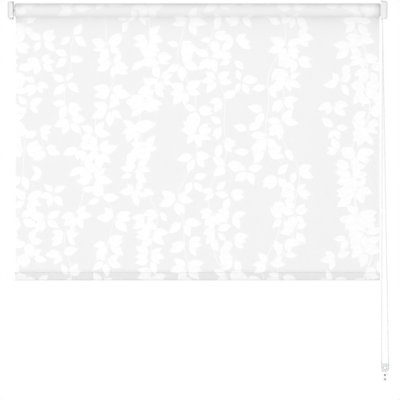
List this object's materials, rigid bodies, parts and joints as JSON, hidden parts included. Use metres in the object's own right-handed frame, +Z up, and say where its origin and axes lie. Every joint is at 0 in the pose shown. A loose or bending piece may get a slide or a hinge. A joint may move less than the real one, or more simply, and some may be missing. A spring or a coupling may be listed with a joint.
{
  "type": "roller blind",
  "caption": "Roller blind: printed cloth on a sprung-pin tube between two wall brackets, wound by an endless bead chain held by a wall tensioner, with a weighted hem.",
  "frame": {"origin": "on the wall plane, at the height of the tube's axis, midway between the two edges of the cloth", "axes": "+X to the right along the tube, +Y towards the wall, +Z up"},
  "size_m": [1.2606, 0.094, 1.26],
  "materials": {
    "blind_fabric": "matt woven voile with a white leaf print",
    "cover_plastic": "white moulded plastic, semi-gloss",
    "white_plastic": "white moulded acetal",
    "chain_plastic": "white plastic beads on cord",
    "clear_plastic": "clear moulded plastic",
    "zinc_steel": "zinc-plated steel",
    "spring_steel": "drawn spring wire",
    "tube_aluminium": "mill-finish extrusion"
  },
  "bodies": {
    "root": {"left_bracket": "zinc_steel", "right_bracket": "zinc_steel", "left_bracket_screw_1": "zinc_steel", "left_bracket_screw_2": "zinc_steel", "right_bracket_screw_1": "zinc_steel", "right_bracket_screw_2": "zinc_steel", "clutch_spindle": "white_plastic", "spindle_screw": "zinc_steel", "chain_guard": "white_plastic", "tensioner_body": "clear_plastic", "tensioner_front": "clear_plastic", "tensioner_axle": "zinc_steel", "tensioner_screw_1": "zinc_steel", "tensioner_screw_2": "zinc_steel", "bead_chain": "chain_plastic", "chain_connector": "clear_plastic", "fabric_sheet": "blind_fabric"},
    "roller": {"roller_tube": "tube_aluminium", "fabric_roll": "blind_fabric", "idle_plug": "white_plastic", "drive_crown": "white_plastic", "wrap_spring_1": "spring_steel", "wrap_spring_2": "spring_steel", "idle_spring": "spring_steel"},
    "chain_wheel": {"chain_wheel": "white_plastic"},
    "tensioner_wheel": {"tensioner_wheel": "white_plastic"},
    "idle_pin": {"idle_pin": "zinc_steel"},
    "hem": {"hem_pocket": "blind_fabric", "bottom_bar": "tube_aluminium", "bar_cap_left": "cover_plastic", "bar_cap_right": "cover_plastic"},
    "left_cover": {"left_cover": "cover_plastic"},
    "right_cover": {"right_cover": "cover_plastic"}
  },
  "joints": [
    {"name": "hem_lift", "type": "slide", "parent": "root", "child": "hem", "axis": [0, 0, 1], "range_m": [-0.8, 0.83], "deforming": ["fabric_sheet"]},
    {"name": "roller_turn", "type": "hinge", "parent": "root", "child": "roller", "pos_m": [0, -0.04, 0], "axis": [1, 0, 0], "range_deg": [-2000, 2075]},
    {"name": "chain_wheel_turn", "type": "hinge", "parent": "root", "child": "chain_wheel", "pos_m": [0.6095, -0.04, 0], "axis": [1, 0, 0], "range_deg": [-2000, 2075]},
    {"name": "tensioner_wheel_turn", "type": "hinge", "parent": "root", "child": "tensioner_wheel", "pos_m": [0.619, -0.011, -1.179], "axis": [0, 1, 0], "range_deg": [-2715, 2615]},
    {"name": "idle_pin_press", "type": "slide", "parent": "roller", "child": "idle_pin", "axis": [1, 0, 0], "range_m": [0, 0.008], "stiffness_N_per_m": 400, "springref_m": -0.004, "deforming": ["idle_spring"]},
    {"name": "left_cover_pull", "type": "slide", "parent": "root", "child": "left_cover", "axis": [-1, 0, 0], "range_m": [0, 0.025]},
    {"name": "right_cover_pull", "type": "slide", "parent": "root", "child": "right_cover", "axis": [1, 0, 0], "range_m": [0, 0.03]}
  ],
  "couplings": [
    {"joint": "roller_turn", "follows": "hem_lift", "rad_per_m": 43.478},
    {"joint": "chain_wheel_turn", "follows": "hem_lift", "rad_per_m": 43.478},
    {"joint": "tensioner_wheel_turn", "follows": "hem_lift", "rad_per_m": -56.856}
  ]
}
